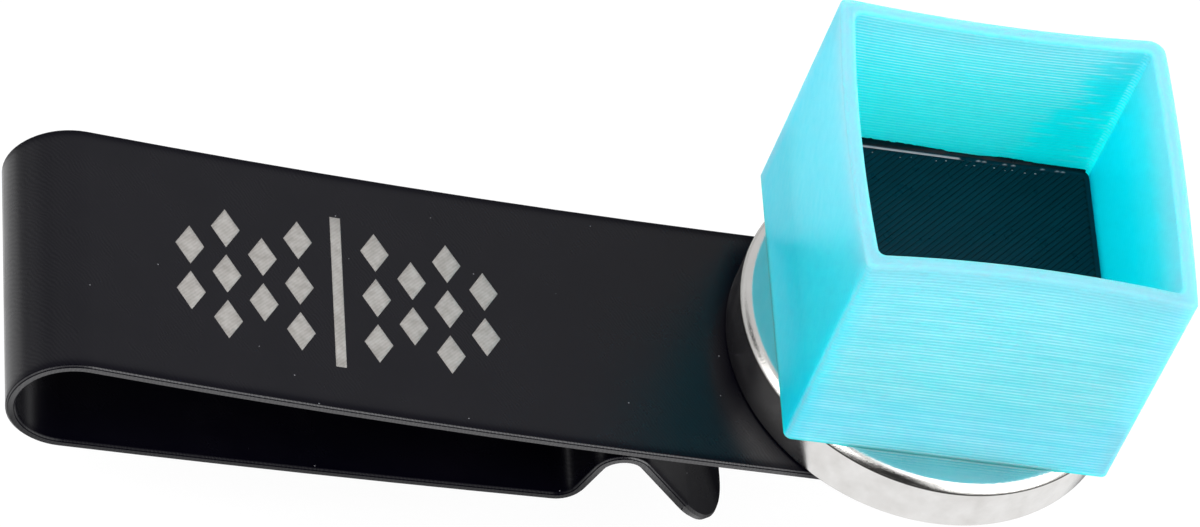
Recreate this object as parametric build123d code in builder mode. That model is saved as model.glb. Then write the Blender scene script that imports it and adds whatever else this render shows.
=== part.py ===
from build123d import *
import math
import os

# Cue-chalk holder: a bent spring-steel clip, a disc magnet on its front leg, and a printed cup
# that the magnet holds. The part stands on the tip of the clip's lip: +Z is up, +X runs along
# the clip from the fold to the cup, and the origin is below the middle of the whole part.
# Driving dimensions are in millimetres and degrees.

# Strip that the clip is bent from
strip_w = 23.0
strip_t = 0.8
strip_offset_y = -0.85
strip_chamfer = 0.2
tip_corner_r = 6.7

# Front leg: a flat seat for the magnet, then a long hollow curve up to the fold
reach = 72.5
seat_h = 11.05
seat_margin = 0.6
seat_inset = 4.0
front_bow_r = 575.0
fold_r = 5.1

# Back leg: a slightly hollow run, a knee, a ramp, a nose that presses on the front leg, and a lip
back_len = 38.75
back_bow_r = 1000.0
knee_r = 2.0
ramp_angle = 73.0
nose_r = 2.1
nose_gap = 0.05
lip_angle = 46.0

# Disc magnet. Its rounded edges end in a crease at the side.
magnet_d = 31.75
magnet_h = 4.76
magnet_round_r = 1.0
magnet_round_angle = 68.0

# Cup
cup_w = 26.2
cup_h = 21.8
cup_wall = 1.2
cup_corner_r = 0.6
bay_corner_r = 0.6
rim_chamfer = 0.25
cup_shift_x = -0.4
cup_shift_y = 0.15
base_skin = 1.0

# How far the middle of each wall has drawn in at the rim. The side walls have spread instead.
draw_front = 0.8
draw_back = 0.65
spread_left = 0.6
spread_right = 0.35

# Magnet in the cup's base, and the black pad that covers it
cup_magnet_d = 20.0
cup_magnet_h = 3.0
cup_magnet_chamfer = 0.3
pocket_clearance = 0.15
pad_t = 2.5
pad_clearance = 0.1
pad_edge_r = 0.4

# Places that follow from the sizes
magnet_r = magnet_d / 2
magnet_flat_r = magnet_r - magnet_round_r * math.sin(math.radians(magnet_round_angle))
seat_x = (reach - magnet_r) / 2
seat_start_x = seat_x - magnet_r - seat_margin
seat_end_x = seat_x + magnet_r - seat_inset
strip_mid_z = seat_h - strip_t / 2
fold_x = seat_x - reach + fold_r
bow_angle = math.degrees(math.asin((seat_start_x - fold_x) / (front_bow_r + fold_r)))
back_angle = math.degrees(back_len / back_bow_r)
tip_r = min(tip_corner_r, 0.45 * strip_w)
ramp_rad = math.radians(ramp_angle)
lip_rad = math.radians(lip_angle)
nose_z = seat_h - strip_t - nose_gap - strip_t / 2 - nose_r
ramp_top_z = nose_z + nose_r * math.cos(ramp_rad)
tip_cut = strip_chamfer * min(math.cos(lip_rad), math.sin(lip_rad))
tip_z = strip_t / 2 * math.cos(lip_rad) - tip_cut

cup_z = seat_h + magnet_h
bay_w = cup_w - 2 * cup_wall
pocket_depth = cup_magnet_h + pocket_clearance
base_h = base_skin + pocket_depth + pad_t
pad_w = bay_w - 2 * pad_clearance

clip_plane = Plane.XZ.offset(-strip_offset_y)
seat_section = Plane((seat_x, 0, seat_h), x_dir=(1, 0, 0), z_dir=(0, -1, 0))
cup_plane = Plane((seat_x + cup_shift_x, cup_shift_y, cup_z))


def section_plane(path):
    """Plane square to a path at its start, with its x along the strip's width."""
    return Plane(origin=path @ 0, x_dir=(0, 1, 0), z_dir=path % 0)


def side_edges(strip):
    """Edges along the sides of a strip, which deburring has broken."""
    across = strip.edges().filter_by(Axis.Y)
    through = strip.edges().filter_by(lambda edge: edge.length < 1.01 * strip_t)
    return strip.edges() - across - through


def rim_outline(width, corner_r):
    """Square of the cup at its rim, with each side bowed."""
    half = width / 2
    corners = [(-half, -half), (half, -half), (half, half), (-half, half)]
    middles = [
        (0, -half + draw_front),
        (half + spread_right, 0),
        (0, half - draw_back),
        (-half - spread_left, 0),
    ]
    with BuildSketch() as outline:
        with BuildLine():
            for side, middle in enumerate(middles):
                ThreePointArc(corners[side], middle, corners[(side + 1) % 4])
        make_face()
        fillet(outline.vertices(), corner_r)
    return outline.sketch


# Front leg, with the upper half of the fold
with BuildPart() as clip_front_leg:
    with BuildLine(clip_plane) as front_path:
        seat = Line((seat_end_x, strip_mid_z), (seat_start_x, strip_mid_z))
        bow = JernArc(seat @ 1, seat % 1, front_bow_r + strip_t / 2, -bow_angle)
        JernArc(bow @ 1, bow % 1, fold_r - strip_t / 2, 90 + bow_angle)
    with BuildSketch(section_plane(front_path.line)):
        Rectangle(strip_w, strip_t)
    sweep()
    fillet(clip_front_leg.edges().filter_by(Axis.Z).group_by(Axis.X)[-1], tip_r)
    chamfer(side_edges(clip_front_leg), strip_chamfer)

# Spring leg, from the lower half of the fold to the lip
with BuildPart() as clip_spring_leg:
    with BuildLine(clip_plane) as spring_path:
        fold = JernArc(front_path.line @ 1, (0, -1), fold_r - strip_t / 2, 90)
        back = JernArc(fold @ 1, fold % 1, back_bow_r - strip_t / 2, back_angle)
        knee = JernArc(back @ 1, back % 1, knee_r, ramp_angle - back_angle)
        ramp_x = (knee @ 1).X + (ramp_top_z - (knee @ 1).Z) / math.tan(ramp_rad)
        ramp = Line(knee @ 1, (ramp_x, ramp_top_z))
        nose = JernArc(ramp @ 1, ramp % 1, nose_r, -(ramp_angle + lip_angle))
        tip_x = (nose @ 1).X + ((nose @ 1).Z - tip_z) / math.tan(lip_rad)
        Line(nose @ 1, (tip_x, tip_z))
    with BuildSketch(section_plane(spring_path.line)):
        Rectangle(strip_w, strip_t)
    sweep()
    tip_face = clip_spring_leg.faces().sort_by(Axis.Z)[0]
    fillet(tip_face.edges().filter_by(Axis.Y, reverse=True), tip_r)
    chamfer(side_edges(clip_spring_leg), strip_chamfer)

# Disc magnet on the flat seat
with BuildPart() as disc_magnet:
    with BuildSketch(seat_section):
        with BuildLine():
            lower = JernArc((magnet_flat_r, 0), (1, 0), magnet_round_r, magnet_round_angle)
            upper = JernArc((magnet_flat_r, magnet_h), (1, 0), magnet_round_r, -magnet_round_angle)
            Line(lower @ 1, upper @ 1)
            Polyline(upper @ 0, (0, magnet_h), (0, 0), lower @ 0)
        make_face()
    revolve(axis=Axis(seat_section.origin, (0, 0, 1)))

# Cup: a square base block with a magnet pocket, and thin walls that bow towards the rim
with BuildPart() as chalk_cup:
    with BuildSketch(cup_plane):
        RectangleRounded(cup_w, cup_w, cup_corner_r)
    extrude(amount=base_h)
    with BuildSketch(cup_plane.offset(base_h)):
        RectangleRounded(cup_w, cup_w, cup_corner_r)
    with BuildSketch(cup_plane.offset(cup_h)):
        add(rim_outline(cup_w, cup_corner_r))
    loft(ruled=True)
    with BuildSketch(cup_plane.offset(base_h)):
        RectangleRounded(bay_w, bay_w, bay_corner_r)
    with BuildSketch(cup_plane.offset(cup_h)):
        add(rim_outline(bay_w, bay_corner_r))
    loft(ruled=True, mode=Mode.SUBTRACT)
    with BuildSketch(cup_plane.offset(base_h)):
        RectangleRounded(bay_w, bay_w, bay_corner_r)
    extrude(amount=-pad_t, mode=Mode.SUBTRACT)
    with BuildSketch(cup_plane.offset(base_skin)):
        Circle(cup_magnet_d / 2 + pocket_clearance)
    extrude(amount=pocket_depth, mode=Mode.SUBTRACT)
    chamfer(chalk_cup.edges().group_by(Axis.Z)[-1], rim_chamfer)

# Magnet inside the base of the cup
with BuildPart() as cup_magnet:
    with BuildSketch(cup_plane.offset(base_skin)):
        Circle(cup_magnet_d / 2)
    extrude(amount=cup_magnet_h)
    chamfer(cup_magnet.edges().filter_by(GeomType.CIRCLE), cup_magnet_chamfer)

# Black pad that covers the cup magnet and carries the chalk
with BuildPart() as floor_pad:
    with BuildSketch(cup_plane.offset(base_h - pad_t)):
        RectangleRounded(pad_w, pad_w, bay_corner_r)
    extrude(amount=pad_t)
    fillet(floor_pad.edges().group_by(Axis.Z)[-1], pad_edge_r)

os.makedirs("parts", exist_ok=True)
clip_front_leg.part.label = "clip_front_leg"
clip_spring_leg.part.label = "clip_spring_leg"
disc_magnet.part.label = "disc_magnet"
chalk_cup.part.label = "chalk_cup"
cup_magnet.part.label = "cup_magnet"
floor_pad.part.label = "floor_pad"
export_step(clip_front_leg.part, "parts/clip_front_leg.step")
export_step(clip_spring_leg.part, "parts/clip_spring_leg.step")
export_step(disc_magnet.part, "parts/disc_magnet.step")
export_step(chalk_cup.part, "parts/chalk_cup.step")
export_step(cup_magnet.part, "parts/cup_magnet.step")
export_step(floor_pad.part, "parts/floor_pad.step")
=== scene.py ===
import bpy
import math
import random
from mathutils import Matrix, Quaternion, Vector


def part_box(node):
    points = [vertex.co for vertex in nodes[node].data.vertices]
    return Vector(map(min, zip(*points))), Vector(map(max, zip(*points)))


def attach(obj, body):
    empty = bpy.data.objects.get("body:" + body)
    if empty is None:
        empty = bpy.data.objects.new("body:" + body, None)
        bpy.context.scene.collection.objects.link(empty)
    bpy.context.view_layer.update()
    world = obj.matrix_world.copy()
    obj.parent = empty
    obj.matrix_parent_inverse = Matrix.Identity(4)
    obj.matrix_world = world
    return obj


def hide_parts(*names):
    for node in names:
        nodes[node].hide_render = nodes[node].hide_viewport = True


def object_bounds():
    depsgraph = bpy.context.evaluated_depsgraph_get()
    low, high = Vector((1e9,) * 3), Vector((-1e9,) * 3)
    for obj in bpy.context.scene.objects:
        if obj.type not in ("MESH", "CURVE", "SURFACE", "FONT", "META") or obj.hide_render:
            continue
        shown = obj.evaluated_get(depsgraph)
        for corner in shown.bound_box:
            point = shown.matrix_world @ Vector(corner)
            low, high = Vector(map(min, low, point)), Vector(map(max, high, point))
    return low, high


# Looks of a cue-chalk holder: a black spring clip, a nickel disc magnet and a printed cyan cup.
# Sizes are in metres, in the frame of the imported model.

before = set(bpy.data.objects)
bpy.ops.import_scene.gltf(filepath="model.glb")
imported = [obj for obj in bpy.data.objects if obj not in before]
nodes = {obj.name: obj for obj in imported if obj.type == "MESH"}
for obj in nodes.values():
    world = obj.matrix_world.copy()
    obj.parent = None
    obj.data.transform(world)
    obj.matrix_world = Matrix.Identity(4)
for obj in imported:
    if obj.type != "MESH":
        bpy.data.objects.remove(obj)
cad_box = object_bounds()
scene = bpy.context.scene

MM = 0.001

MAGNET_LOW, MAGNET_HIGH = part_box("disc_magnet")
MAGNET_X = (MAGNET_LOW.x + MAGNET_HIGH.x) / 2
MAGNET_Y = (MAGNET_LOW.y + MAGNET_HIGH.y) / 2
MAGNET_R = (MAGNET_HIGH.x - MAGNET_LOW.x) / 2

LEG_LOW, LEG_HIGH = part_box("clip_front_leg")
STRIP_Y = (LEG_LOW.y + LEG_HIGH.y) / 2
STRIP_HALF = (LEG_HIGH.y - LEG_LOW.y) / 2

# Shine of the clip's coating inward from the side of the strip: the side itself, the two halves of
# its broken edge, and the start of the face. It sets the sheen and a pale base colour, partly from
# wear and partly as painted highlight lines. Places are shares of the band.
EDGE_BAND = 1.2 * MM
EDGE_SHARE = 0.14
EDGE_SHINE = (
    (0.000, 0.75), (0.006, 0.75), (0.008, 0.05), (0.046, 0.05), (0.067, 0.70), (0.121, 0.70),
    (EDGE_SHARE, 0.07), (0.42, 0.12), (0.56, 0.18), (0.70, 0.23), (1.000, 0.26),
)

# Painted shade: the edges of the spring leg, which lies lower, are duller and less pale
LOW_Z = 6.0 * MM
HIGH_Z = 9.0 * MM
LOW_SHADE = 0.65

# The lip, whose leaning faces get painted shade that cuts their sheen, and its rounded end, whose
# edges are pale with wear and painted highlight
LIP_LEAN = math.radians(46)
LIP_NORMAL = (math.sin(LIP_LEAN), 0, math.cos(LIP_LEAN))
LIP_SHADE = 0.88
LIP_START_X = 0.0
LIP_END_X = 10.0 * MM
LIP_END_Z = 5.0 * MM

# Painted shade: the coating's sheen is cut in a band round the magnet, where the two meet
MAGNET_SHADE_BAND = 1.5 * MM
MAGNET_SHADE_SHINE = 0.2

# Colours of the clip, the magnets, the cup, the pad and the marking, where two are the ends of a
# slight variation. CUP_LIT and CUP_DIM are the inside of the cup by height, away from its right
# wall and on it.
COAT = ((0.0008, 0.0007, 0.0026), (0.0018, 0.0015, 0.0036))
# Pale edge colour: partly wear, partly painted highlight
COAT_WEAR_AND_HIGHLIGHT = (0.030, 0.029, 0.032)
COAT_DUST = (0.16, 0.16, 0.17)
NICKEL_FACE = ((0.61, 0.60, 0.575), (0.69, 0.675, 0.65))
NICKEL_SIDE = ((0.64, 0.625, 0.61), (0.76, 0.75, 0.74))
# Painted shade in the crease at the magnet's side
NICKEL_CREASE_SHADE = (0.08, 0.077, 0.07)
# Outside of the cup: low down with painted shade, and higher up where the walls are thin
CUP_SHADED_LOW = ((0.001, 0.510, 0.655), (0.002, 0.535, 0.680))
CUP_THIN = ((0.042, 0.500, 0.610), (0.056, 0.525, 0.635))
CUP_LIT = ((0.50, (0.00, 0.90, 1.00)), (0.75, (0.00, 0.80, 0.94)), (1.00, (0.10, 0.75, 0.87)))
CUP_DIM = ((0.60, (0.00, 0.64, 0.73)), (0.80, (0.02, 0.63, 0.71)), (1.00, (0.26, 0.68, 0.75)))
# Painted highlights on the ridges of the layers, outside and inside
CUP_RIDGE_HIGHLIGHT_OUT = (0.50, 0.75, 0.85)
CUP_RIDGE_HIGHLIGHT_IN = (0.82, 0.90, 1.00)
# Painted highlight on the rim and the corners
CUP_RIM_HIGHLIGHT = (0.215, 0.415, 0.500)
# Pad: black, with painted cyan light from the cup
PAD_FIELD = ((0.0000, 0.0200, 0.0320), (0.0004, 0.0250, 0.0390))
# Painted shade in the gaps between the beads
PAD_GAP_SHADE = (0.0000, 0.0050, 0.0080)
PAD_DUST = (0.20, 0.40, 0.42)
# Painted highlight on the tops of the back bead and the drops
PAD_BEAD_HIGHLIGHT = (0.36, 0.27, 0.28)
ETCH = ((0.20, 0.188, 0.175), (0.30, 0.287, 0.273))

# How far light of each colour spreads in the cup, as shares of a depth that is greater in the walls
# than in the base
CUP_SPREAD = (0.012, 1.0, 1.1)
BASE_DEPTH = 1.6 * MM
WALL_DEPTH = 5.0 * MM


# Shader helpers

def material(name):
    """A node material, with its node tree and its Principled shader."""
    mat = bpy.data.materials.new(name)
    mat.use_nodes = True
    tree = mat.node_tree
    return mat, tree, tree.nodes["Principled BSDF"]


def add(tree, kind, **values):
    """A shader node with some of its attributes set."""
    node = tree.nodes.new(kind)
    for key, value in values.items():
        setattr(node, key, value)
    return node


def coordinates(tree, scale=(1, 1, 1), turn=0.0, shift=(0, 0, 0)):
    """Object coordinates, stretched, turned about Z and shifted."""
    coord = add(tree, "ShaderNodeTexCoord")
    mapping = add(tree, "ShaderNodeMapping")
    mapping.inputs["Location"].default_value = shift
    mapping.inputs["Scale"].default_value = scale
    mapping.inputs["Rotation"].default_value = (0, 0, math.radians(turn))
    tree.links.new(coord.outputs["Object"], mapping.inputs["Vector"])
    return mapping.outputs["Vector"]


def noise(tree, vector, scale, detail=3.0, rough=0.55):
    """A noise texture's value, from 0 to 1."""
    node = add(tree, "ShaderNodeTexNoise")
    node.inputs["Scale"].default_value = scale
    node.inputs["Detail"].default_value = detail
    node.inputs["Roughness"].default_value = rough
    tree.links.new(vector, node.inputs["Vector"])
    return node.outputs["Fac"]


def ramp(tree, value, stops):
    """A colour ramp through (place, colour) stops."""
    node = add(tree, "ShaderNodeValToRGB")
    elements = node.color_ramp.elements
    while len(elements) < len(stops):
        elements.new(0.5)
    for element, (place, colour) in zip(elements, stops):
        element.position = place
        element.color = (*colour, 1)
    tree.links.new(value, node.inputs["Fac"])
    return node.outputs["Color"]


def spread(tree, value, low, high, start=0.0, end=1.0):
    """Maps a value between start and end to a value between low and high."""
    node = add(tree, "ShaderNodeMapRange")
    node.inputs["From Min"].default_value = start
    node.inputs["From Max"].default_value = end
    node.inputs["To Min"].default_value = low
    node.inputs["To Max"].default_value = high
    tree.links.new(value, node.inputs["Value"])
    return node.outputs["Result"]


def mixed(tree, factor, first, second):
    """Two colours mixed by a factor. A colour is a socket or three numbers."""
    node = add(tree, "ShaderNodeMix", data_type="RGBA")
    tree.links.new(factor, node.inputs["Factor"])
    for socket, colour in ((node.inputs[6], first), (node.inputs[7], second)):
        if isinstance(colour, tuple):
            socket.default_value = (*colour, 1)
        else:
            tree.links.new(colour, socket)
    return node.outputs[2]


def maths(tree, operation, first, second=0.0):
    """A Math node on one or two values. A value is a socket or a number."""
    node = add(tree, "ShaderNodeMath", operation=operation)
    for socket, value in zip(node.inputs, (first, second)):
        if isinstance(value, (int, float)):
            socket.default_value = value
        else:
            tree.links.new(value, socket)
    return node.outputs["Value"]


def bump(tree, shader, height, depth, strength=1.0):
    """Small relief on a shader, of a depth in metres. The strength is a socket or a number."""
    node = add(tree, "ShaderNodeBump")
    node.inputs["Distance"].default_value = depth
    if isinstance(strength, float):
        node.inputs["Strength"].default_value = strength
    else:
        tree.links.new(strength, node.inputs["Strength"])
    tree.links.new(height, node.inputs["Height"])
    tree.links.new(node.outputs["Normal"], shader.inputs["Normal"])


def length(tree, vector):
    """Length of a vector."""
    node = add(tree, "ShaderNodeVectorMath", operation="LENGTH")
    tree.links.new(vector, node.inputs[0])
    return node.outputs["Value"]


def along(tree, vector, direction):
    """How far a vector points in a direction."""
    node = add(tree, "ShaderNodeVectorMath", operation="DOT_PRODUCT")
    tree.links.new(vector, node.inputs[0])
    node.inputs[1].default_value = direction
    return node.outputs["Value"]


def specks(tree, vector, scale, size):
    """1 on small specks of dust, otherwise 0."""
    cells = add(tree, "ShaderNodeTexVoronoi", feature="F1")
    cells.inputs["Scale"].default_value = scale
    tree.links.new(vector, cells.inputs["Vector"])
    return maths(tree, "LESS_THAN", cells.outputs["Distance"], size)


def bands(tree, turn, scale, distortion, detail=2.0, detail_scale=1.0):
    """Parallel bands, turned about Z, from 0 to 1."""
    node = add(tree, "ShaderNodeTexWave", wave_type="BANDS", bands_direction="X")
    node.inputs["Scale"].default_value = scale
    node.inputs["Distortion"].default_value = distortion
    node.inputs["Detail"].default_value = detail
    node.inputs["Detail Scale"].default_value = detail_scale
    tree.links.new(coordinates(tree, turn=turn), node.inputs["Vector"])
    return node.outputs["Fac"]


def between(tree, value, start, end, colours):
    """Two colours mixed as a value goes from start to end."""
    return ramp(tree, value, list(zip((start, end), colours)))


def attribute(tree, name):
    """A value that the mesh carries at its points."""
    return add(tree, "ShaderNodeAttribute", attribute_name=name).outputs["Fac"]


# Materials

def clip_material():
    """Satin black coating, with faint swirls from brushing, smudges and specks of dust. Its edges along
    the strip are pale, partly with wear and partly as painted highlight lines, and painted shade cuts
    the sheen on the lower leg's edges, on the lip and close to the magnet."""
    mat, tree, shader = material("clip_black")
    vector = coordinates(tree)
    tone = between(tree, noise(tree, vector, scale=160.0, detail=4.0), 0.3, 0.75, COAT)
    dusty = mixed(tree, specks(tree, vector, scale=480.0, size=0.026), tone, COAT_DUST)
    split = add(tree, "ShaderNodeSeparateXYZ")
    tree.links.new(vector, split.inputs["Vector"])
    sideways = maths(tree, "ABSOLUTE", maths(tree, "SUBTRACT", split.outputs["Y"], STRIP_Y))
    inward = spread(tree, sideways, 1.0, 0.0, STRIP_HALF - EDGE_BAND, STRIP_HALF)
    sides = ramp(tree, inward, [(place, (shine, shine, shine)) for place, shine in EDGE_SHINE])
    normal = add(tree, "ShaderNodeTexCoord").outputs["Normal"]
    flat = maths(tree, "ABSOLUTE", along(tree, normal, LIP_NORMAL))
    # Painted highlight, with wear, on the edges of the lip's rounded end
    edge = spread(tree, flat, 0.45, 0.20, 0.55, 0.85)
    on_end = maths(tree, "GREATER_THAN", split.outputs["X"], LIP_END_X)
    on_lip = maths(tree, "MULTIPLY", on_end, maths(tree, "LESS_THAN", split.outputs["Z"], LIP_END_Z))
    on_edge = maths(tree, "LESS_THAN", inward, EDGE_SHARE)
    # Painted shade on the spring leg's edges, lower down
    low = maths(tree, "MULTIPLY", on_edge, spread(tree, split.outputs["Z"], LOW_SHADE, 0.0, LOW_Z, HIGH_Z))
    broken = maths(tree, "MULTIPLY", sides, maths(tree, "SUBTRACT", 1.0, low))
    wear_and_painted_light = mixed(tree, on_lip, broken, edge)
    # The pale base colour along the edges is partly wear and partly painted highlight
    pale = spread(tree, wear_and_painted_light, 0.0, 1.0, 0.3, 1.0)
    tree.links.new(mixed(tree, pale, dusty, COAT_WEAR_AND_HIGHLIGHT), shader.inputs["Base Color"])
    swirl = bands(tree, turn=-35.0, scale=1250.0, distortion=11.0, detail=3.0, detail_scale=0.45)
    # Painted shade where the coating meets the magnet
    away = length(tree, coordinates(tree, (1, 1, 0), shift=(-MAGNET_X, -MAGNET_Y, 0)))
    magnet_shade = spread(tree, away, MAGNET_SHADE_SHINE, 1.0, MAGNET_R, MAGNET_R + MAGNET_SHADE_BAND)
    grain = spread(tree, swirl, 0.82, 1.08)
    # Painted shade: less sheen on the lip's leaning faces
    on_slope = maths(tree, "GREATER_THAN", split.outputs["X"], LIP_START_X)
    painted_lip_shade = maths(tree, "MULTIPLY", on_slope, spread(tree, flat, 0.0, LIP_SHADE, 0.90, 0.97))
    kept = maths(tree, "MULTIPLY", magnet_shade, maths(tree, "SUBTRACT", 1.0, painted_lip_shade))
    sheen = maths(tree, "MULTIPLY", maths(tree, "MULTIPLY", wear_and_painted_light, kept), grain)
    tree.links.new(sheen, shader.inputs["Specular IOR Level"])
    rough = spread(tree, noise(tree, vector, scale=230.0, detail=5.0), 0.22, 0.30, 0.3, 0.7)
    tree.links.new(rough, shader.inputs["Roughness"])
    bump(tree, shader, swirl, depth=0.006 * MM, strength=0.25)
    return mat


def nickel_material():
    """Nickel plate: polished on the face, satin on the side, with a fine peel on the rounded edge and
    painted shade in the crease at the side.
    """
    mat, tree, shader = material("nickel_plate")
    vector = coordinates(tree)
    side = attribute(tree, "side")
    face = between(tree, noise(tree, vector, scale=240.0, detail=5.0), 0.3, 0.7, NICKEL_FACE)
    wear = noise(tree, vector, scale=500.0, detail=6.0)
    clean = mixed(tree, side, face, between(tree, wear, 0.3, 0.7, NICKEL_SIDE))
    # Painted shade: dark in the crease
    crease_shaded = mixed(tree, attribute(tree, "crease"), clean, NICKEL_CREASE_SHADE)
    tree.links.new(crease_shaded, shader.inputs["Base Color"])
    shader.inputs["Metallic"].default_value = 1.0
    polished = spread(tree, wear, 0.05, 0.11, 0.35, 0.7)
    satin = spread(tree, wear, 0.18, 0.26, 0.35, 0.7)
    rough = add(tree, "ShaderNodeMix", data_type="FLOAT")
    tree.links.new(side, rough.inputs[0])
    tree.links.new(polished, rough.inputs[2])
    tree.links.new(satin, rough.inputs[3])
    tree.links.new(rough.outputs[0], shader.inputs["Roughness"])
    peel = noise(tree, vector, scale=10000.0, detail=2.0, rough=0.6)
    scratch = noise(tree, coordinates(tree, (1, 9, 4), turn=35.0), scale=700.0, detail=6.0, rough=0.65)
    relief = maths(tree, "ADD", peel, maths(tree, "MULTIPLY", scratch, 0.6))
    rounding = spread(tree, attribute(tree, "rounding"), 0.2, 1.0)
    bump(tree, shader, relief, depth=0.016 * MM, strength=rounding)
    return mat


def cup_material():
    """Translucent printed plastic with painted light: painted highlights make it paler on the ridges of
    its layers, on the rim and at the corners, painted shade makes the outside deeper low down, and
    the inside has lit and dim copies of its colour.
    """
    mat, tree, shader = material("cup_cyan")
    vector = coordinates(tree)
    cloud = noise(tree, vector, scale=140.0)
    # Painted shade: the outside is deeper and less pale low down, over the base block
    shaded_low = between(tree, cloud, 0.3, 0.7, CUP_SHADED_LOW)
    thin = between(tree, cloud, 0.3, 0.7, CUP_THIN)
    up = attribute(tree, "height")
    outside = mixed(tree, spread(tree, up, 0.0, 1.0, 0.3, 1.0), shaded_low, thin)
    bay = mixed(tree, attribute(tree, "right"), ramp(tree, up, CUP_LIT), ramp(tree, up, CUP_DIM))
    inside = attribute(tree, "inside")
    walls = mixed(tree, inside, outside, bay)
    # Painted highlight on the ridges of the layers
    streaks = noise(tree, coordinates(tree, (0.10, 0.10, 1)), scale=1500.0, detail=2.0)
    line = maths(tree, "MULTIPLY", attribute(tree, "ridge"), spread(tree, streaks, 0.70, 1.0, 0.35, 0.65))
    ridges = mixed(tree, line, walls, mixed(tree, inside, CUP_RIDGE_HIGHLIGHT_OUT, CUP_RIDGE_HIGHLIGHT_IN))
    # Painted highlight on the rim and the corners
    colour = mixed(tree, attribute(tree, "rim"), ridges, CUP_RIM_HIGHLIGHT)
    tree.links.new(colour, shader.inputs["Base Color"])
    shader.inputs["Specular IOR Level"].default_value = 0.20
    rough = spread(tree, noise(tree, vector, scale=900.0, detail=4.0), 0.29, 0.37, 0.3, 0.7)
    tree.links.new(rough, shader.inputs["Roughness"])
    shader.inputs["Subsurface Weight"].default_value = 1.0
    shader.inputs["Subsurface Radius"].default_value = CUP_SPREAD
    depth = spread(tree, up, BASE_DEPTH, WALL_DEPTH, 0.24, 0.36)
    tree.links.new(depth, shader.inputs["Subsurface Scale"])
    bump(tree, shader, noise(tree, vector, scale=5200.0), depth=0.008 * MM, strength=0.3)
    return mat


def pad_material():
    """Black printed plastic, coloured with painted cyan light from the cup, and with painted shade in the
    gaps between its beads. The bead at the back wall has a shiny top with a painted highlight."""
    mat, tree, shader = material("pad_black")
    vector = coordinates(tree)
    # Painted cyan light from the cup on the black plastic
    field = between(tree, noise(tree, vector, scale=300.0, detail=4.0), 0.3, 0.7, PAD_FIELD)
    # Painted shade: darker low between the beads and on the smear
    beads = mixed(tree, attribute(tree, "bead"), PAD_GAP_SHADE, field)
    dusty = mixed(tree, specks(tree, vector, scale=330.0, size=0.022), beads, PAD_DUST)
    # Shiny, with a painted highlight, on the back bead's top and the drops' tops
    gloss_and_highlight = attribute(tree, "gloss_and_highlight")
    tree.links.new(mixed(tree, gloss_and_highlight, dusty, PAD_BEAD_HIGHLIGHT), shader.inputs["Base Color"])
    tree.links.new(spread(tree, gloss_and_highlight, 0.12, 1.0), shader.inputs["Specular IOR Level"])
    rough = spread(tree, noise(tree, vector, scale=700.0, detail=4.0), 0.26, 0.36, 0.3, 0.7)
    tree.links.new(rough, shader.inputs["Roughness"])
    bump(tree, shader, noise(tree, vector, scale=6000.0), depth=0.008 * MM, strength=0.3)
    return mat


def etch_material():
    """Matt grey laser marking, hatched by the passes of the beam."""
    mat, tree, shader = material("laser_mark")
    hatch = bands(tree, turn=45.0, scale=1300.0, distortion=0.8)
    blotch = noise(tree, coordinates(tree), scale=1400.0, detail=4.0)
    shade = maths(tree, "ADD", maths(tree, "MULTIPLY", hatch, 0.15), blotch)
    tree.links.new(between(tree, shade, 0.35, 0.80, ETCH), shader.inputs["Base Color"])
    shader.inputs["Roughness"].default_value = 0.65
    bump(tree, shader, hatch, depth=0.010 * MM, strength=0.4)
    return mat


MATERIALS = {
    "clip_black": clip_material(),
    "nickel_plate": nickel_material(),
    "cup_cyan": cup_material(),
    "pad_black": pad_material(),
    "laser_mark": etch_material(),
}


def dress(obj, name):
    """Gives an object one material."""
    obj.data.materials.clear()
    obj.data.materials.append(MATERIALS[name])


dress(nodes["clip_front_leg"], "clip_black")
dress(nodes["clip_spring_leg"], "clip_black")
dress(nodes["cup_magnet"], "nickel_plate")


# Mesh helpers

SHARP_ANGLE = math.radians(40)


def mesh_object(name, verts, faces, smooth=True):
    """A mesh object from its points and faces. Only its faces with four sides are shaded smooth."""
    mesh = bpy.data.meshes.new(name)
    mesh.from_pydata(verts, [], faces)
    mesh.validate()
    if smooth:
        mesh.shade_smooth()
        mesh.set_sharp_from_angle(angle=SHARP_ANGLE)
        for polygon in mesh.polygons:
            polygon.use_smooth = len(polygon.vertices) == 4
    obj = bpy.data.objects.new(name, mesh)
    scene.collection.objects.link(obj)
    return obj


def add_bar(verts, faces, stations):
    """Adds a bar through stations of equally many points, closed at both ends."""
    first, count = len(verts), len(stations[0])
    for station in stations:
        verts.extend(station)
    for level in range(len(stations) - 1):
        low = first + level * count
        for i in range(count):
            j = (i + 1) % count
            faces.append((low + i, low + j, low + count + j, low + count + i))
    faces.append(tuple(reversed(range(first, first + count))))
    faces.append(tuple(range(len(verts) - count, len(verts))))


def skin(rings):
    """Points and faces of one closed bar."""
    verts, faces = [], []
    add_bar(verts, faces, rings)
    return verts, faces


def carry(obj, name, values):
    """Stores one value for each point of an object's mesh."""
    obj.data.attributes.new(name, "FLOAT", "POINT").data.foreach_set("value", values)


# Disc magnet: its upper edge is well rounded and ends in a crease at the side, and its lower edge
# is sharper

UPPER_ROUND = 1.0 * MM
UPPER_ANGLE = math.radians(68)
UPPER_STEPS = 12
LOWER_ROUND = 0.25 * MM
LOWER_STEPS = 6
CREASE = 0.02 * MM
CREASE_ANGLE = 0.03
FACE_INSET = 0.5 * MM
RING_POINTS = 240


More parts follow.
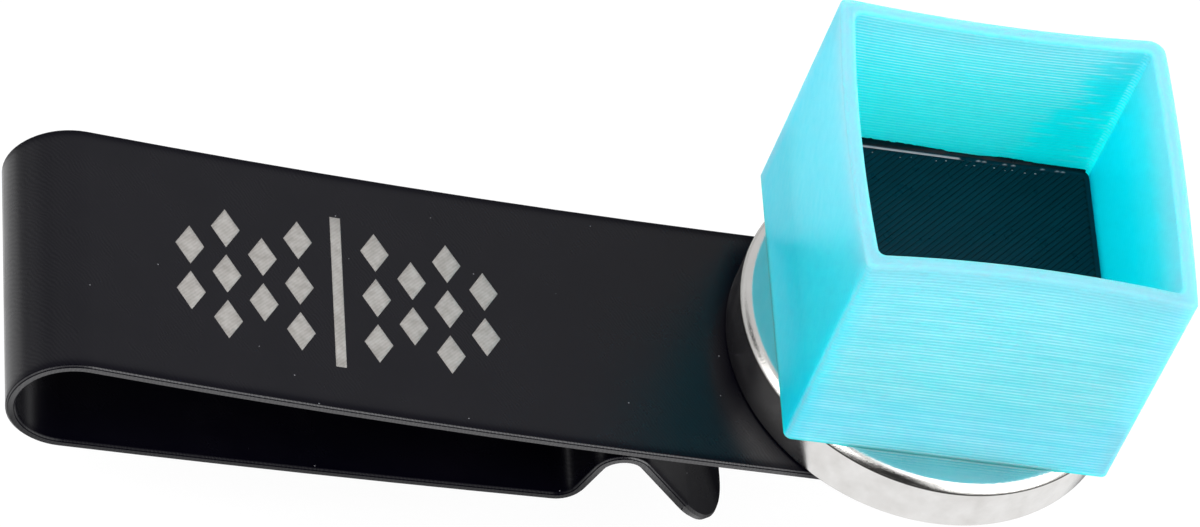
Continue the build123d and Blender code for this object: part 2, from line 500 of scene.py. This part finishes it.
def magnet_rings():
    """Radius and height of each ring from below, and how far it is on the side, on the rounding and
    in the crease."""
    flat_r = MAGNET_R - UPPER_ROUND * math.sin(UPPER_ANGLE)
    crease_z = MAGNET_HIGH.z - UPPER_ROUND * (1 - math.cos(UPPER_ANGLE))
    rings = []
    for i in range(LOWER_STEPS + 1):
        share = i / LOWER_STEPS
        angle = math.pi / 2 * (1 - share)
        radius = MAGNET_R - LOWER_ROUND * (1 - math.cos(angle))
        rings.append((radius, MAGNET_LOW.z + LOWER_ROUND * (1 - math.sin(angle)), share, 0, 0))
    rings.append((MAGNET_R, crease_z - 5 * CREASE, 1, 0, 0))
    rings.append((MAGNET_R, crease_z - 2 * CREASE, 1, 0, 1))
    rings.append((MAGNET_R - CREASE, crease_z, 0, 1, 1))
    for i in range(UPPER_STEPS + 1):
        share = 1 - i / UPPER_STEPS
        angle = (UPPER_ANGLE - CREASE_ANGLE) * share
        radius = flat_r + UPPER_ROUND * math.sin(angle)
        z = MAGNET_HIGH.z - UPPER_ROUND * (1 - math.cos(angle))
        rings.append((radius, z, 0, min(1.0, 4 * share), max(0.0, 1 - i)))
    rings.append((flat_r - FACE_INSET, MAGNET_HIGH.z, 0, 0, 0))
    return rings


def ring_points(radius, z):
    """Points of a circle about the magnet's axis."""
    turns = [2 * math.pi * i / RING_POINTS for i in range(RING_POINTS)]
    return [(MAGNET_X + radius * math.cos(a), MAGNET_Y + radius * math.sin(a), z) for a in turns]


magnet_table = magnet_rings()
magnet = mesh_object("disc_magnet_plated", *skin([ring_points(ring[0], ring[1]) for ring in magnet_table]))
for place, name in enumerate(("side", "rounding", "crease"), 2):
    carry(magnet, name, [ring[place] for ring in magnet_table for _ in range(RING_POINTS)])
dress(magnet, "nickel_plate")
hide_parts("disc_magnet")
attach(magnet, "magnet")


# Cup: every printed layer is a small bulge in the walls

PAD_LOW, PAD_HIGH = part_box("floor_pad")
CUP_LOW, CUP_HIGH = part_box("chalk_cup")
CUP_X = (PAD_LOW.x + PAD_HIGH.x) / 2
CUP_Y = (PAD_LOW.y + PAD_HIGH.y) / 2
PAD_HALF = (PAD_HIGH.x - PAD_LOW.x) / 2
CUP_BASE = CUP_LOW.z
CUP_TOP = CUP_HIGH.z
STRAIGHT_TOP = PAD_HIGH.z
WALL = 1.2 * MM
PAD_GAP = 0.1 * MM
POCKET_GAP = 0.15 * MM
BAY_HALF = PAD_HALF + PAD_GAP
CUP_HALF = BAY_HALF + WALL
CUP_CORNER = 0.6 * MM
SLACK_CORNER = 1.3 * MM
BAY_CORNER = 0.6 * MM
BOW_FRONT = 0.8 * MM
BOW_BACK = -0.65 * MM
BOW_LEFT = -0.6 * MM
BOW_RIGHT = 0.35 * MM

# Rim, of three beads side by side
RIM_ROUND = 0.25 * MM
RIM_BEADS = 3
RIM_BEAD_STEPS = 6
RIM_DIP = 0.03 * MM

# Layers. Their grooves are shallow on the sides, and each layer lies a little deeper or less deep.
LAYERS = 67
LAYER_H = (CUP_TOP - CUP_BASE) / LAYERS
LAYER_STEPS = (0.04, 0.16, 0.34, 0.5, 0.66, 0.84, 0.96)
GROOVE = 0.06 * MM
SHALLOW = 0.12
OUTER_SHIFT = 0.012
INNER_SHIFT = 0.015
LEAST_STEP = 0.05 * MM

# Painted highlights on the ridges: where in a layer their crest is, how wide it is, and how pale a
# ridge is at least, inside, and low down inside. FAINT is for the sides. Outside, the last two are a
# painted sheen between the ridges and a painted highlight added on them.
RIDGE_CREST = 0.84
RIDGE_HALF = 0.24
RIDGE_LEAST = 0.78
RIDGE_INSIDE = 0.95
LOW_INSIDE = 0.15
FAINT = 0.02
FRONT_SHEEN = 0.25
FRONT_RIDGE = 0.46

# Inside, the ridges break off at a share of the back wall, apart from strays
BREAK_LEAST = 0.34
BREAK_MOST = 0.42
BREAK_SLOPE = 0.32
STRAY_CHANCE = 0.12
BROKEN_OFF = 0.05

# Corners get the rim's painted highlight, the front left one only along a line across its points
CORNER_PALE = 0.45
CORNER_LINE = (0.0, 0.0, 0.25, 0.55, 0.30, 0.10)
CORNER_DIM = 0.65

# Blobs of the print seam in the inner corner at the back right, as shares of the bay's half width
BLOB_CHANCE = 0.7
BLOB_LEAST = 0.002
BLOB_MOST = 0.008

# Points of a ring. It has four blocks, each with a side and the corner after it. The right wall
# takes in some points of its corners.
SIDE_POINTS = 22
CORNER_POINTS = 6
BLOCK = SIDE_POINTS + CORNER_POINTS
RING_COUNT = 4 * BLOCK
SHARED = 2
RIGHT_COUNT = SIDE_POINTS + 2 * SHARED
RIGHT_START = BLOCK - SHARED
ON_RIGHT = [1.0 if RIGHT_START <= i < RIGHT_START + RIGHT_COUNT else 0.0 for i in range(RING_COUNT)]


def groove_shares():
    """How deep the grooves are at each point of a ring: full on the front and the back, shallow on
    the sides."""
    shares = []
    for side in range(4):
        here, there = (1.0, SHALLOW) if side % 2 == 0 else (SHALLOW, 1.0)
        shares += [here] * SIDE_POINTS
        shares += [here + (there - here) * i / CORNER_POINTS for i in range(CORNER_POINTS)]
    return shares


GROOVE_SHARES = groove_shares()


def pressed(depth, half):
    """How far the points of a ring move in, as shares of its half width, for a groove of a depth."""
    return [depth * share / half for share in GROOVE_SHARES]


def groove_depth(step):
    """How deep the surface lies at a height within a layer, whose edge is round."""
    return GROOVE * (1 - math.sqrt(1 - (2 * step - 1) ** 2))


def square_loop(half, corner, slack=None):
    """Points of a rounded square about the origin, anticlockwise from its front left. The corner
    at the back right has its own radius."""
    radii = (corner, slack or corner, corner, corner)
    points = []
    for side in range(4):
        turn = side * math.pi / 2
        radius = radii[side]
        first, last = radii[side - 1] - half, half - radius
        for i in range(SIDE_POINTS):
            points.append((first + (last - first) * i / SIDE_POINTS, -half, turn))
        for i in range(CORNER_POINTS):
            angle = -math.pi / 2 + math.pi / 2 * i / CORNER_POINTS
            points.append((last + radius * math.cos(angle), radius - half + radius * math.sin(angle), turn))
    return [(x * math.cos(t) - y * math.sin(t), x * math.sin(t) + y * math.cos(t)) for x, y, t in points]


def rise(z):
    """How far up the bowed part of the walls a height is, from 0 to 1."""
    return max(0.0, (z - STRAIGHT_TOP) / (CUP_TOP - STRAIGHT_TOP))


def wall_ring(half, corner, z, slack=None, nudge=None):
    """A ring of the cup at height z, where the sides bow more and more above the base."""
    ring = []
    for i, (x, y) in enumerate(square_loop(half, corner, slack)):
        along_x = max(0.0, 1 - (x / CUP_HALF) ** 2)
        along_y = max(0.0, 1 - (y / CUP_HALF) ** 2)
        bow_y = (BOW_FRONT if y < 0 else BOW_BACK) * along_x * abs(y) / half
        bow_x = (BOW_LEFT if x < 0 else BOW_RIGHT) * along_y * abs(x) / half
        if nudge:
            x, y = x * (1 - nudge[i]), y * (1 - nudge[i])
        ring.append((CUP_X + x + bow_x * rise(z), CUP_Y + y + bow_y * rise(z), z))
    return ring


def circle_ring(radius, z):
    """A ring of the round magnet pocket, with its points facing those of the square."""
    return [
        (CUP_X + radius * x / math.hypot(x, y), CUP_Y + radius * y / math.hypot(x, y), z)
        for x, y in square_loop(BAY_HALF, BAY_CORNER)
    ]


def ridge(step):
    """How much painted highlight a layer has at a height within it: its upper edge catches the light."""
    return max(0.0, 1 - ((step - RIDGE_CREST) / RIDGE_HALF) ** 2)


def lined(rng, layer, inside):
    """How far each point of a layer shows its ridge's painted highlight: fully on the front and the
    back, faintly on the sides, and more and more round a corner, but less at the front left. Inside,
    the ridges break off before the seam, the lower ones sooner."""
    strength = rng.uniform(RIDGE_LEAST, 1.0) * (RIDGE_INSIDE if inside else 1.0)
    end = rng.uniform(BREAK_LEAST, BREAK_MOST) - BREAK_SLOPE * layer / LAYERS if inside else 0.0
    shares = []
    for side in range(4):
        faced = side % 2 == 0
        for i in range(SIDE_POINTS):
            share = strength if faced else FAINT
            if not inside and side == 0 and i == 0:
                share = CORNER_DIM * strength
            if inside and side == 2 and i < end * SIDE_POINTS:
                share = strength if rng.random() < STRAY_CHANCE else BROKEN_OFF
            shares.append(share)
        for i in range(CORNER_POINTS):
            turned = i / CORNER_POINTS if faced else 1 - i / CORNER_POINTS
            if not inside and side == 3:
                turned = 1 - CORNER_DIM * i / CORNER_POINTS
            shares.append(strength + (FAINT - strength) * turned)
    return shares


def edged(rim):
    """How far each point of an outer ring is on the rim, which has a painted highlight. The cup's
    corners take that painted highlight too, the front left one only along a thin line."""
    corner = max(rim, CORNER_PALE)
    thin = [max(rim, pale) for pale in CORNER_LINE]
    shares = []
    for side in range(4):
        shares += [corner if side else rim] + [rim] * (SIDE_POINTS - 1)
        shares += [corner] * CORNER_POINTS if side < 3 else thin
    return shares


def cup_rings():
    """Rings from the underside, up the outside, over the rim and down into the bay. Each ring has
    its points, how far it is inside, how far its points are on the rim, and their ridges."""
    rng = random.Random(7)
    plain = [0.0] * RING_COUNT
    rings = [(wall_ring(CUP_HALF, CUP_CORNER, CUP_BASE), 0, edged(0.0), plain)]
    foot = CUP_BASE + LAYER_H / 2
    top = CUP_TOP - RIM_ROUND
    for layer in range(LAYERS):
        shift = rng.uniform(0.0, OUTER_SHIFT) * MM
        shares = lined(rng, layer, False)
        for step in LAYER_STEPS:
            z = CUP_BASE + (layer + step) * LAYER_H
            if foot < z < top:
                inset = groove_depth(step) + shift
                slack = CUP_CORNER + (SLACK_CORNER - CUP_CORNER) * rise(z)
                points = wall_ring(CUP_HALF, CUP_CORNER, z, slack, pressed(inset, CUP_HALF))
                # Painted sheen and ridge highlight outside, and near the top the rim's painted highlight
                pale = FRONT_SHEEN + FRONT_RIDGE * ridge(step)
                rings.append((points, 0, edged(rise(z) ** 12), [pale * share for share in shares]))
    parts = RIM_BEADS * RIM_BEAD_STEPS
    for i in range(parts + 1):
        across = i / parts
        dip = RIM_DIP * abs(math.cos(math.pi * RIM_BEADS * across)) ** 3
        edge = min(across, 1 - across) * WALL
        if edge < RIM_ROUND:
            dip += RIM_ROUND - math.sqrt(RIM_ROUND ** 2 - (RIM_ROUND - edge) ** 2)
        corner = CUP_CORNER + (BAY_CORNER - CUP_CORNER) * across
        slack = SLACK_CORNER + (BAY_CORNER - SLACK_CORNER) * across
        points = wall_ring(CUP_HALF - across * WALL, corner, CUP_TOP - min(dip, RIM_ROUND), slack)
        # Painted highlight over the rim, less towards its inner edge
        rings.append((points, across ** 2, [1 - 0.5 * across ** 4] * RING_COUNT, plain))
    seam = 2 * BLOCK - CORNER_POINTS // 2
    floor = PAD_LOW.z
    for layer in reversed(range(LAYERS)):
        shift = rng.uniform(0.0, INNER_SHIFT) * MM
        chance = BLOB_CHANCE * rise(CUP_BASE + layer * LAYER_H)
        blob = rng.uniform(BLOB_LEAST, BLOB_MOST) if rng.random() < chance else 0.0
        spot = seam + rng.choice((-1, 0, 0, 1))
        shares = lined(rng, layer, True)
        for step in reversed(LAYER_STEPS):
            z = CUP_BASE + (layer + step) * LAYER_H
            if floor + LEAST_STEP < z < top:
                inset = groove_depth(step) + shift
                nudge = pressed(-inset, BAY_HALF)
                nudge[spot] += blob * (1 - (2 * step - 1) ** 2)
                points = wall_ring(BAY_HALF, BAY_CORNER, z, nudge=nudge)
                # Painted highlight: the inside pales like the rim towards the top
                rims = [0.7 * rise(z) ** 6] * RING_COUNT
                # Painted highlight on the inner ridges, fainter low down
                pale = ridge(step) * (LOW_INSIDE + (1 - LOW_INSIDE) * rise(z))
                rings.append((points, 1, rims, [pale * share for share in shares]))
    rings.append((wall_ring(BAY_HALF, BAY_CORNER, floor), 1, plain, plain))
    pocket_low, pocket_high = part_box("cup_magnet")
    pocket_r = (pocket_high.x - pocket_low.x) / 2 + POCKET_GAP
    rings.append((circle_ring(pocket_r, floor), 1, plain, plain))
    rings.append((circle_ring(pocket_r, pocket_low.z), 1, plain, plain))
    return rings


cup_table = cup_rings()
cup = mesh_object("chalk_cup_printed", *skin([points for points, _, _, _ in cup_table]))
carry(cup, "inside", [inside for points, inside, _, _ in cup_table for _ in points])
carry(cup, "right", ON_RIGHT * len(cup_table))
carry(cup, "rim", [value for _, _, rims, _ in cup_table for value in rims])
carry(cup, "ridge", [value for _, _, _, ridges in cup_table for value in ridges])
cup_heights = [z for points, _, _, _ in cup_table for _, _, z in points]
carry(cup, "height", [(z - CUP_BASE) / (CUP_TOP - CUP_BASE) for z in cup_heights])
dress(cup, "cup_cyan")
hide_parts("chalk_cup")
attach(cup, "cup")


# Floor pad: flat beads of plastic lie side by side across it, with one bead round the edge. Along
# the back wall lies a round bead with a row of drops in front of it, and plastic has smeared up the
# wall behind it.

BEAD = 0.42 * MM
BEAD_GAP = 0.09 * MM
BEAD_RISE = 0.03 * MM
BEAD_SUNK = 0.004 * MM
PAD_BED = PAD_HIGH.z - BEAD_RISE
PAD_CORNER = 0.6 * MM
PAD_SIDE_DROP = 0.3 * MM
BACK_BEAD = 0.42 * MM
BACK_BEAD_R = 0.17 * MM
BACK_BEAD_RISE = 0.10 * MM
BACK_MARGIN = 0.25 * MM
BACK_STEPS = 96
BACK_BREAK = 0.55
BACK_BROKEN = (0.3, 0.4, 0.5, 0.5, 0.9)
GLOSS_START = 0.65
SMEAR_DEPTH = 0.26 * MM
SMEAR_LEAST = 0.06
SMEAR_PROFILE = ((1.0, 0.0), (0.45, 0.35), (0.0, 1.0), (-0.4, 1.0), (-0.4, 0.0))
DROPS = 24
DROP_R = 0.06 * MM
DROP_LENGTH = ((-1.0, 0.05), (-0.6, 1.0), (0.6, 1.0), (1.0, 0.05))
BEAD_SLOPE = ((0.72, 1.0), (0.82, 1.0), (0.92, 0.6), (1.0, 0.0))
BEAD_PROFILE = [(-across, up) for across, up in reversed(BEAD_SLOPE)] + list(BEAD_SLOPE)
HALF_ROUND = [(math.cos(math.pi * i / 8), math.sin(math.pi * i / 8)) for i in range(9)]


def pad_ring(half, corner, z):
    """A ring of the pad at height z."""
    return [(CUP_X + x, CUP_Y + y, z) for x, y in square_loop(half, corner)]


def section(place, side, height, z, profile):
    """A bead's section at a place on the pad: across by side, up by height."""
    return [
        (CUP_X + place.x + side.x * across, CUP_Y + place.y + side.y * across, z + height * up)
        for across, up in profile
    ]


def add_lines(verts, faces, rng):
    """Adds the flat beads, which run from the front left to the back right."""
    reach = PAD_HALF - BEAD - BEAD_GAP
    step = BEAD * math.sqrt(2)
    count = int(2 * reach / step)
    across_line = Vector((-1, 1)).normalized()
    for line in range(-count, count + 1):
        offset = line * step
        start = Vector((max(-reach, -reach - offset), max(-reach, -reach + offset)))
        end = Vector((min(reach, reach - offset), min(reach, reach + offset)))
        gap = BEAD_GAP * rng.uniform(0.5, 1.0) * (1.0 if line % 2 else 0.6)
        side = across_line * (BEAD - gap) / 2
        height = BEAD_RISE * rng.uniform(0.9, 1.0)
        if (end - start).length > BEAD:
            bed = PAD_BED - BEAD_SUNK
            stations = [section(place, side, height, bed, BEAD_PROFILE) for place in (start, end)]
            add_bar(verts, faces, stations)


def smear_height(t):
    """Height of the smear, in millimetres, at a share of the back wall from its left: it falls, then
    comes in low waves."""
    slope = 0.62 - 0.80 * t if t < 0.5 else 0.10 + 0.16 * max(0.0, math.sin(16.0 * (t - 0.62)))
    return max(SMEAR_LEAST, slope)


def add_back(verts, faces, rng):
    """Adds the round bead at the back wall, which breaks up to the right, and the smear behind it."""
    beads, smears = [], []
    for i in range(BACK_STEPS + 1):
        t = i / BACK_STEPS
        x = (PAD_HALF - BACK_MARGIN) * (2 * t - 1)
        lump = rng.uniform(0.85, 1.15)
        height = BACK_BEAD_RISE * (1.0 if t < BACK_BREAK else rng.choice(BACK_BROKEN))
        place = Vector((x, PAD_HALF - BACK_BEAD))
        beads.append(section(place, Vector((0, -BACK_BEAD_R)), height, PAD_BED, HALF_ROUND))
        place = Vector((x, PAD_HALF))
        height = smear_height(t) * lump * MM
        smears.append(section(place, Vector((0, -SMEAR_DEPTH)), height, PAD_BED, SMEAR_PROFILE))
    add_bar(verts, faces, beads)
    add_bar(verts, faces, smears)


def add_drops(verts, faces, rng):
    """Adds a row of small drops in front of the round bead."""
    for drop in range(DROPS):
        x = PAD_HALF * (1.7 * (drop + rng.uniform(0.2, 0.8)) / DROPS - 0.98)
        y = PAD_HALF - BACK_BEAD - rng.uniform(0.35, 0.70) * MM
        half = rng.uniform(0.03, 0.10) * MM
        height = BACK_BEAD_RISE * rng.uniform(0.45, 1.0)
        stations = []
        for share, up in DROP_LENGTH:
            place = Vector((x + share * half, y))
            stations.append(section(place, Vector((0, -DROP_R)), height * up, PAD_BED, HALF_ROUND))
        add_bar(verts, faces, stations)


def pad_mesh():
    """The block with its edge bead, then one closed bar for each other bead, drop and smear."""
    rng = random.Random(3)
    rings = [pad_ring(PAD_HALF, PAD_CORNER, z) for z in (PAD_LOW.z, PAD_BED - PAD_SIDE_DROP)]
    for across, up in BEAD_PROFILE:
        rings.append(pad_ring(PAD_HALF - BEAD / 2 * (1 + across), PAD_CORNER, PAD_BED + BEAD_RISE * up))
    verts, faces = skin(rings)
    add_lines(verts, faces, rng)
    add_back(verts, faces, rng)
    add_drops(verts, faces, rng)
    return verts, faces


def on_bead(y, z):
    """How high a point is on its bead, from 0 to 1. The smear on the back wall counts as low."""
    smeared = y > CUP_Y + PAD_HALF - BACK_BEAD + BACK_BEAD_R
    return 0.0 if smeared else min(1.0, max(0.0, (z - PAD_BED) / BEAD_RISE))


def on_gloss_highlight(y, z):
    """1 on the front of the round bead's top and on the drops' tops, which are shiny and have a painted
    highlight, otherwise 0.
    """
    return 1.0 if z > PAD_BED + GLOSS_START * BACK_BEAD_RISE and y < CUP_Y + PAD_HALF - BACK_BEAD else 0.0


pad_verts, pad_faces = pad_mesh()
pad = mesh_object("floor_pad_printed", pad_verts, pad_faces)
carry(pad, "bead", [on_bead(y, z) for _, y, z in pad_verts])
carry(pad, "gloss_and_highlight", [on_gloss_highlight(y, z) for _, y, z in pad_verts])
dress(pad, "pad_black")
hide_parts("floor_pad")
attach(pad, "cup")


# Laser marking on the front leg: thin plates in its skin, a plain bar with diamonds on both sides

SEAT_Z = MAGNET_LOW.z
SEAT_MARGIN = 0.6 * MM
BOW_START_X = MAGNET_LOW.x - SEAT_MARGIN
BOW_R = 575 * MM
MARK_X = -18.9 * MM
MARK_Y = -1.0 * MM
MARK_LIFT = 0.012 * MM
MARK_DEPTH = 0.04 * MM
BAR_W = 0.85 * MM
BAR_H = 14.5 * MM
DIAMOND_W = 2.3 * MM
DIAMOND_H = 3.7 * MM
COLUMNS = 4
COLUMN_START = 3.1
COLUMN_STEP = 2.9
EVEN_ROWS = (-4.4, 0.0, 4.4)
ODD_ROWS = (-2.2, 2.2)
PATCH_STEPS = 6


def leg_top(x):
    """Height of the upper face of the front leg."""
    run = max(0.0, BOW_START_X - x)
    return SEAT_Z + BOW_R - math.sqrt(BOW_R ** 2 - run ** 2)


def flat_patch(corners):
    """A patch on the front leg, from four corners, as a grid that follows its curve."""
    verts = []
    a, b, c, d = [Vector(corner) for corner in corners]
    for i in range(PATCH_STEPS + 1):
        for j in range(PATCH_STEPS + 1):
            s, t = i / PATCH_STEPS, j / PATCH_STEPS
            point = (a * (1 - s) + b * s) * (1 - t) + (d * (1 - s) + c * s) * t
            verts.append((point.x, point.y, leg_top(point.x) + MARK_LIFT))
    faces = []
    for i in range(PATCH_STEPS):
        for j in range(PATCH_STEPS):
            p = i * (PATCH_STEPS + 1) + j
            faces.append((p, p + PATCH_STEPS + 1, p + PATCH_STEPS + 2, p + 1))
    return verts, faces


def marking():
    """A bar, and a lattice of diamonds to its left and right."""
    verts, faces = [], []

    def put(corners):
        """Adds one patch."""
        more_verts, more_faces = flat_patch(corners)
        base = len(verts)
        verts.extend(more_verts)
        faces.extend(tuple(base + i for i in face) for face in more_faces)

    left, right = MARK_X - BAR_W / 2, MARK_X + BAR_W / 2
    front, back = MARK_Y - BAR_H / 2, MARK_Y + BAR_H / 2
    put([(left, front), (right, front), (right, back), (left, back)])
    for side in (-1, 1):
        for column in range(COLUMNS):
            x = MARK_X + side * (COLUMN_START + COLUMN_STEP * column) * MM
            for row in EVEN_ROWS if column % 2 == 0 else ODD_ROWS:
                y = MARK_Y + row * MM
                left, right = x - DIAMOND_W / 2, x + DIAMOND_W / 2
                front, back = y - DIAMOND_H / 2, y + DIAMOND_H / 2
                put([(left, y), (x, front), (right, y), (x, back)])
    return verts, faces


mark = mesh_object("laser_marking", *marking())
skin_depth = mark.modifiers.new("skin_depth", "SOLIDIFY")
skin_depth.thickness = MARK_DEPTH
skin_depth.offset = -1.0
dress(mark, "laser_mark")
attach(mark, "clip")


# Floor, light and camera. The floor lies below the lip of the opened clip.

FLOOR_Z = -8.5 * MM
FLOOR_HALF = 3.0
FLOOR_COLOUR = (0.80, 0.80, 0.80)
FLOOR_IN_MIRRORS = (0.25, 0.25, 0.25)
FLOOR_SHADED = (0.11, 0.11, 0.11, 1)
FLOOR_WHITE = (0.92, 0.92, 0.92, 1)
SHADE_MIDDLE = (10.0 * MM, 8.0 * MM)
SHADE_EDGE = (1.10, 1.22)
RING_EDGE = (3.0, 3.6)
RING_OUTSIDE = 0.3


def floor_material():
    """White floor with a faint shadow of the object, clear from below. Mirrors see a white ring of
    it round the object, with the shaded place under the object inside and a dimmer floor outside."""
    mat = bpy.data.materials.new("studio_floor")
    mat.use_nodes = True
    tree = mat.node_tree
    tree.nodes.clear()
    out = add(tree, "ShaderNodeOutputMaterial")
    path = add(tree, "ShaderNodeLightPath")
    mirror = maths(tree, "MAXIMUM", path.outputs["Is Glossy Ray"], path.outputs["Is Transmission Ray"])
    half = (cad_box[1] - cad_box[0]) / 2

    def reach(x, y):
        """How far out a place on the floor is from a middle, in half sizes of the object."""
        shift = (-x / half.x, -y / half.y, 0)
        return length(tree, coordinates(tree, (1 / half.x, 1 / half.y, 0), shift=shift))

    beyond = spread(tree, reach(*SHADE_MIDDLE), 0.0, 1.0, *SHADE_EDGE)
    within = spread(tree, reach(0.0, 0.0), 1.0, RING_OUTSIDE, *RING_EDGE)
    ring = maths(tree, "MULTIPLY", beyond, within)
    seen = maths(tree, "MAXIMUM", path.outputs["Is Camera Ray"], maths(tree, "MULTIPLY", mirror, ring))
    plain = add(tree, "ShaderNodeBsdfDiffuse")
    tree.links.new(mixed(tree, mirror, FLOOR_COLOUR, FLOOR_IN_MIRRORS), plain.inputs["Color"])
    shaded = add(tree, "ShaderNodeBsdfDiffuse")
    shaded.inputs["Color"].default_value = FLOOR_SHADED
    glow = add(tree, "ShaderNodeEmission")
    glow.inputs["Color"].default_value = FLOOR_WHITE
    white = add(tree, "ShaderNodeAddShader")
    tree.links.new(shaded.outputs["BSDF"], white.inputs[0])
    tree.links.new(glow.outputs["Emission"], white.inputs[1])
    both = add(tree, "ShaderNodeMixShader")
    tree.links.new(seen, both.inputs["Fac"])
    tree.links.new(plain.outputs["BSDF"], both.inputs[1])
    tree.links.new(white.outputs["Shader"], both.inputs[2])
    clear = add(tree, "ShaderNodeBsdfTransparent")
    sides = add(tree, "ShaderNodeMixShader")
    tree.links.new(add(tree, "ShaderNodeNewGeometry").outputs["Backfacing"], sides.inputs["Fac"])
    tree.links.new(both.outputs["Shader"], sides.inputs[1])
    tree.links.new(clear.outputs["BSDF"], sides.inputs[2])
    tree.links.new(sides.outputs["Shader"], out.inputs["Surface"])
    return mat


floor = mesh_object("studio_floor", [
    (-FLOOR_HALF, -FLOOR_HALF, FLOOR_Z), (FLOOR_HALF, -FLOOR_HALF, FLOOR_Z),
    (FLOOR_HALF, FLOOR_HALF, FLOOR_Z), (-FLOOR_HALF, FLOOR_HALF, FLOOR_Z),
], [(0, 1, 2, 3)], smooth=False)
floor.data.materials.append(floor_material())


def compass(azimuth, elevation):
    """Unit vector to an azimuth, from +X, and an elevation, in degrees."""
    turn, tilt = math.radians(azimuth), math.radians(elevation)
    return Vector((math.cos(tilt) * math.cos(turn), math.cos(tilt) * math.sin(turn), math.sin(tilt)))


WALL_COLOUR = (0.78, 0.78, 0.79)
DARK_COLOUR = (0.04, 0.04, 0.04)
SEEN_COLOUR = (1.0, 1.0, 1.0)


def studio_world():
    """Pale walls with two dark places: the camera's own side and a gap at the back left. The
    camera sees plain white."""
    world = bpy.data.worlds.new("studio")
    world.use_nodes = True
    tree = world.node_tree
    tree.nodes.clear()
    out = add(tree, "ShaderNodeOutputWorld")
    toward = add(tree, "ShaderNodeTexCoord").outputs["Generated"]

    def shade(azimuth, elevation, inner, outer):
        """How far a direction is within a dark place: fully inside one angle from its middle, and
        not at all outside another, in degrees."""
        near = along(tree, toward, compass(azimuth, elevation))
        start, end = math.cos(math.radians(outer)), math.cos(math.radians(inner))
        return spread(tree, near, 0.0, 1.0, start, end)

    low = shade(azimuth=-98, elevation=12, inner=27, outer=32)
    high = shade(azimuth=-98, elevation=48, inner=17, outer=22)
    gap = shade(azimuth=160, elevation=36, inner=12, outer=20)
    dark = maths(tree, "MAXIMUM", maths(tree, "MAXIMUM", low, high), gap)
    walls = mixed(tree, dark, WALL_COLOUR, DARK_COLOUR)
    path = add(tree, "ShaderNodeLightPath")
    colour = mixed(tree, path.outputs["Is Camera Ray"], walls, SEEN_COLOUR)
    back = add(tree, "ShaderNodeBackground")
    tree.links.new(colour, back.inputs["Color"])
    tree.links.new(back.outputs["Background"], out.inputs["Surface"])
    scene.world = world


studio_world()


def softbox(name, azimuth, elevation, distance, width, height, level, roll=0.0):
    """An area lamp that faces the object. The level is its brightness, where 1 is white."""
    lamp = bpy.data.lights.new(name, "AREA")
    lamp.shape = "RECTANGLE"
    lamp.size = width
    lamp.size_y = height
    lamp.energy = level * math.pi * width * height
    obj = bpy.data.objects.new(name, lamp)
    toward = compass(azimuth, elevation)
    obj.location = (cad_box[0] + cad_box[1]) / 2 + toward * distance
    facing = (-toward).to_track_quat("-Z", "Y") @ Quaternion((0, 0, 1), math.radians(roll))
    obj.rotation_euler = facing.to_euler()
    scene.collection.objects.link(obj)
    return obj


softbox(
    "right_softbox", azimuth=-30, elevation=42, distance=0.80, width=0.94, height=1.40, level=2.2, roll=-36
)
softbox("left_softbox", azimuth=-160, elevation=42, distance=0.60, width=0.55, height=0.60, level=2.6)
back_softbox = softbox(
    "back_softbox", azimuth=100, elevation=12, distance=0.60, width=0.50, height=0.30, level=2.0
)
back_softbox.visible_glossy = False

# Camera at the photo's angle, with its lens and its sensor's width in millimetres
CAMERA_AZIMUTH = -111.936
CAMERA_ELEVATION = 48.607
CAMERA_ROLL = 24.077
CAMERA_DISTANCE = 622.41 * MM
CAMERA_TARGET = Vector((2.637 * MM, 5.751 * MM, 11.05 * MM))
CAMERA_LENS = 239.45
SENSOR_WIDTH = 36.0
CLIP_START = 0.01
CLIP_END = 20.0

camera = bpy.data.cameras.new("photo_camera")
camera.lens = CAMERA_LENS
camera.sensor_width = SENSOR_WIDTH
camera.sensor_fit = "HORIZONTAL"
camera.clip_start = CLIP_START
camera.clip_end = CLIP_END
camera_obj = bpy.data.objects.new("photo_camera", camera)
away = compass(CAMERA_AZIMUTH, CAMERA_ELEVATION)
level = (-away).to_track_quat("-Z", "Y").to_matrix().to_4x4()
roll = Matrix.Rotation(math.radians(CAMERA_ROLL), 4, "Z")
camera_obj.matrix_world = Matrix.Translation(CAMERA_TARGET + away * CAMERA_DISTANCE) @ level @ roll
scene.collection.objects.link(camera_obj)
scene.camera = camera_obj
scene.view_settings.view_transform = "Standard"
